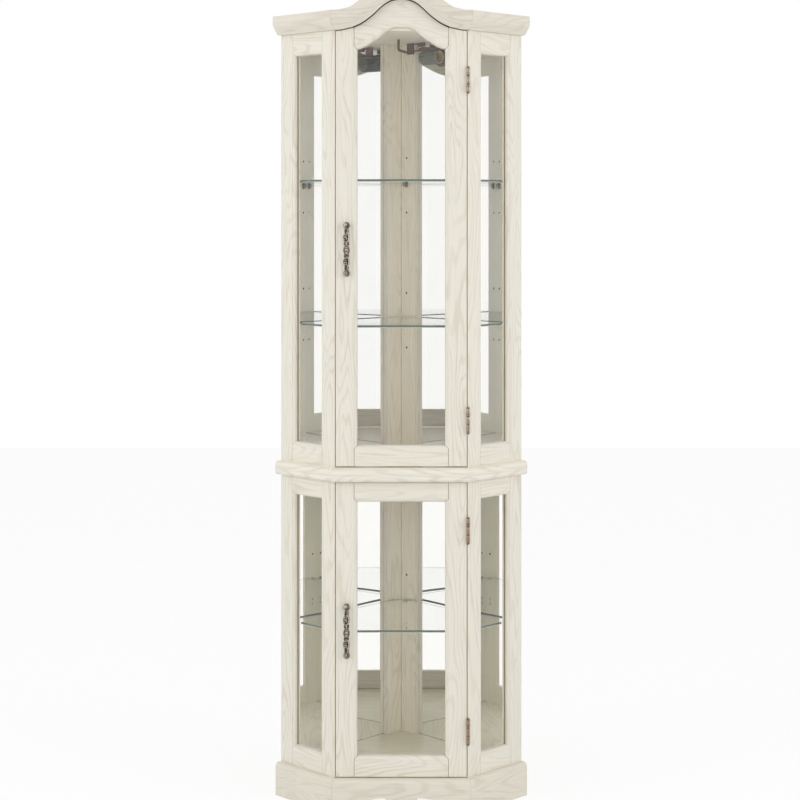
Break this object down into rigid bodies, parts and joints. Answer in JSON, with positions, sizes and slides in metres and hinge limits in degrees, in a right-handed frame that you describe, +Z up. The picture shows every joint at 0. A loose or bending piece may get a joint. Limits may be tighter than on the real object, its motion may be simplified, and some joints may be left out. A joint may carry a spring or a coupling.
{
  "type": "corner curio cabinet",
  "caption": "Tall five-sided corner display cabinet in two stacked sections, with glazed doors and sides, mirrored back, glass shelves and an arched crown.",
  "frame": {"origin": "middle of the footprint's bounding box, on the floor", "axes": "+Z up, +Y from the doors towards the corner of the room, +X to the right of someone facing the doors"},
  "size_m": [0.5714, 0.418, 1.8],
  "materials": {
    "wood": "whitewashed oak, satin",
    "board": "plain board",
    "glass": "clear, polished edges",
    "mirror": "silvered",
    "bronze": "antique bronze",
    "pull": "cast antique bronze",
    "steel": "plated",
    "socket": "moulded",
    "plastic": "moulded"
  },
  "bodies": {
    "root": {"plinth_front": "wood", "plinth_left": "wood", "plinth_right": "wood", "plinth_rear": "board", "base_floor": "board", "lower_left_side_frame": "wood", "lower_left_side_glass": "glass", "lower_left_back_board": "board", "lower_left_mirror": "mirror", "lower_right_side_frame": "wood", "lower_right_side_glass": "glass", "lower_right_back_board": "board", "lower_right_mirror": "mirror", "lower_rear_post": "wood", "upper_left_side_frame": "wood", "upper_left_side_glass": "glass", "upper_left_back_board": "board", "upper_left_mirror": "mirror", "upper_right_side_frame": "wood", "upper_right_side_glass": "glass", "upper_right_back_board": "board", "upper_right_mirror": "mirror", "upper_rear_post": "wood", "waist_lower_board": "wood", "waist_upper_board": "wood", "ceiling_board": "board", "crown_front": "wood", "crown_left": "wood", "crown_right": "wood", "crown_backer": "board", "lower_shelf": "glass", "middle_shelf": "glass", "upper_shelf": "glass", "lamp_socket": "socket", "lamp_bracket": "steel", "lamp_lead": "socket", "lower_door_catch": "plastic", "upper_door_catch": "plastic", "lower_bottom_hinge_frame_leaf": "bronze", "lower_top_hinge_frame_leaf": "bronze", "upper_bottom_hinge_frame_leaf": "bronze", "upper_top_hinge_frame_leaf": "bronze"},
    "lower_door": {"lower_door_hinge_stile": "wood", "lower_door_lock_stile": "wood", "lower_door_top_rail": "wood", "lower_door_bottom_rail": "wood", "lower_door_glass": "glass", "lower_door_handle": "pull", "lower_door_strike_plate": "steel", "lower_bottom_hinge_door_leaf": "bronze", "lower_top_hinge_door_leaf": "bronze"},
    "upper_door": {"upper_door_hinge_stile": "wood", "upper_door_lock_stile": "wood", "upper_door_top_rail": "wood", "upper_door_bottom_rail": "wood", "upper_door_glass": "glass", "upper_door_handle": "pull", "upper_door_strike_plate": "steel", "upper_bottom_hinge_door_leaf": "bronze", "upper_top_hinge_door_leaf": "bronze"}
  },
  "joints": [
    {"name": "lower_door_hinge", "type": "hinge", "parent": "root", "child": "lower_door", "pos_m": [0.14453, -0.18771, 0.39], "axis": [0, 0, 1], "range_deg": [0, 170]},
    {"name": "upper_door_hinge", "type": "hinge", "parent": "root", "child": "upper_door", "pos_m": [0.14453, -0.18771, 1.214], "axis": [0, 0, 1], "range_deg": [0, 170]}
  ]
}
